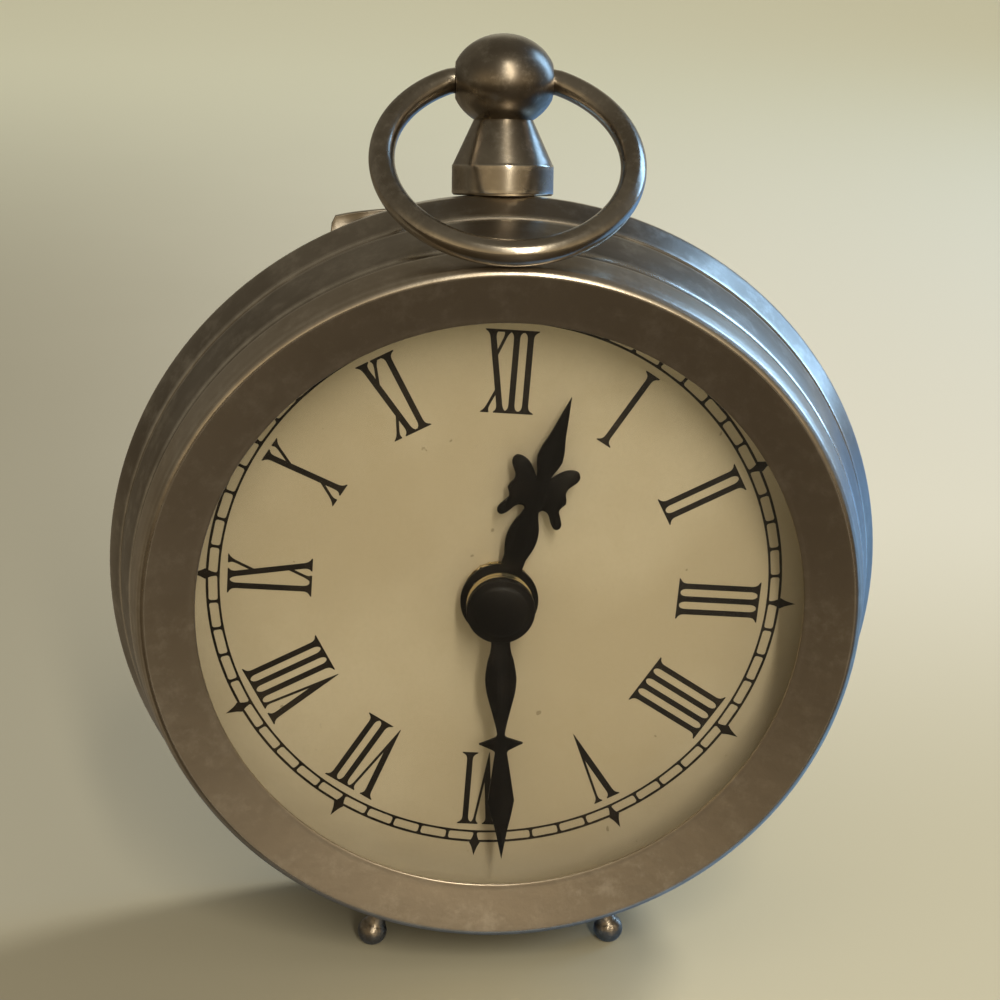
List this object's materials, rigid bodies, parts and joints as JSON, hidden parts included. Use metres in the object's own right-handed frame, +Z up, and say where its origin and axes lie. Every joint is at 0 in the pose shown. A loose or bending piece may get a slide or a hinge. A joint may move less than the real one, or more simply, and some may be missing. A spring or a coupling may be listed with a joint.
{
  "type": "table clock",
  "caption": "Round metal table clock shaped like a pocket watch, with a ball finial and hinged ring on top, standing on two ball feet and its rim.",
  "frame": {"origin": "on the surface the clock stands on, below the middle of its width and depth", "axes": "+X to the right seen from the front, +Y away from the viewer along the clock's axis, +Z up"},
  "size_m": [0.1412, 0.0448, 0.1673],
  "materials": {
    "aged_nickel": "aged nickel over turned aluminium, brushed and mottled",
    "nickel_wire": "aged nickel over bent steel wire",
    "clear_glass": "clear flat glass",
    "printed_dial": "matt aged cream with black print",
    "black_lacquer": "satin black",
    "brass": "turned, bright",
    "steel": "plain bright",
    "rubber": "matt black",
    "black_plastic": "moulded, matt",
    "white_plastic": "moulded, matt",
    "battery_sleeve": "plain printed sleeve",
    "copper_wire": "lacquered winding",
    "circuit_board": "green solder mask"
  },
  "bodies": {
    "case": {"bezel": "aged_nickel", "glass": "clear_glass", "glass_ring": "steel", "spacer_ring": "steel", "dial": "printed_dial", "dial_ring": "steel", "drum": "aged_nickel", "finial": "aged_nickel", "finial_washer": "steel", "finial_nut": "steel", "foot_left": "aged_nickel", "foot_right": "aged_nickel", "foot_nut_left": "steel", "foot_nut_right": "steel", "bush": "brass", "bush_nut": "brass", "bush_washer": "brass", "gasket": "rubber", "movement_front": "black_plastic", "movement_rear": "black_plastic", "battery": "battery_sleeve", "contact_negative": "steel", "contact_positive": "steel", "coil": "copper_wire", "stator": "steel", "circuit_board": "circuit_board", "quartz_can": "steel"},
    "minute": {"minute_hand": "black_lacquer", "hand_cap": "black_lacquer", "hand_collar": "brass", "minute_arbor": "steel", "set_knob": "white_plastic"},
    "hour": {"hour_hand": "black_lacquer", "hour_wheel": "white_plastic"},
    "setting": {"setting_wheel": "white_plastic"},
    "centre": {"centre_wheel": "white_plastic"},
    "third": {"third_wheel": "white_plastic"},
    "seconds": {"seconds_wheel": "white_plastic"},
    "intermediate": {"intermediate_wheel": "white_plastic"},
    "rotor": {"rotor": "steel"},
    "bow": {"bow": "nickel_wire"},
    "cover": {"back_cover": "aged_nickel"}
  },
  "joints": [
    {"name": "minute_turn", "type": "hinge", "parent": "case", "child": "minute", "pos_m": [0, 0, 0.0706], "axis": [0, 1, 0], "continuous": true},
    {"name": "hour_turn", "type": "hinge", "parent": "case", "child": "hour", "pos_m": [0, 0, 0.0706], "axis": [0, 1, 0], "continuous": true},
    {"name": "setting_turn", "type": "hinge", "parent": "case", "child": "setting", "pos_m": [-0.011, 0, 0.0706], "axis": [0, 1, 0], "continuous": true},
    {"name": "seconds_turn", "type": "hinge", "parent": "case", "child": "seconds", "pos_m": [0.00604, 0, 0.08728], "axis": [0, 1, 0], "continuous": true},
    {"name": "third_turn", "type": "hinge", "parent": "case", "child": "third", "pos_m": [0.00764, 0, 0.07824], "axis": [0, 1, 0], "continuous": true},
    {"name": "centre_turn", "type": "hinge", "parent": "case", "child": "centre", "pos_m": [0, 0, 0.0706], "axis": [0, 1, 0], "continuous": true},
    {"name": "intermediate_turn", "type": "hinge", "parent": "case", "child": "intermediate", "pos_m": [-0.0014, 0, 0.08859], "axis": [0, 1, 0], "continuous": true},
    {"name": "rotor_turn", "type": "hinge", "parent": "case", "child": "rotor", "pos_m": [-0.00788, 0, 0.08859], "axis": [0, 1, 0], "continuous": true},
    {"name": "bow_swing", "type": "hinge", "parent": "case", "child": "bow", "pos_m": [0, 0.01327, 0.15919], "axis": [-1, 0, 0], "range_deg": [0, 284]},
    {"name": "cover_pull", "type": "slide", "parent": "case", "child": "cover", "axis": [0, 1, 0], "range_m": [0, 0.03]}
  ],
  "couplings": [
    {"joint": "hour_turn", "follows": "minute_turn", "ratio": 0.083333},
    {"joint": "setting_turn", "follows": "minute_turn", "ratio": -0.33333},
    {"joint": "third_turn", "follows": "seconds_turn", "ratio": -0.13333},
    {"joint": "centre_turn", "follows": "seconds_turn", "ratio": 0.016667},
    {"joint": "intermediate_turn", "follows": "seconds_turn", "ratio": -6},
    {"joint": "rotor_turn", "follows": "seconds_turn", "ratio": 30}
  ]
}
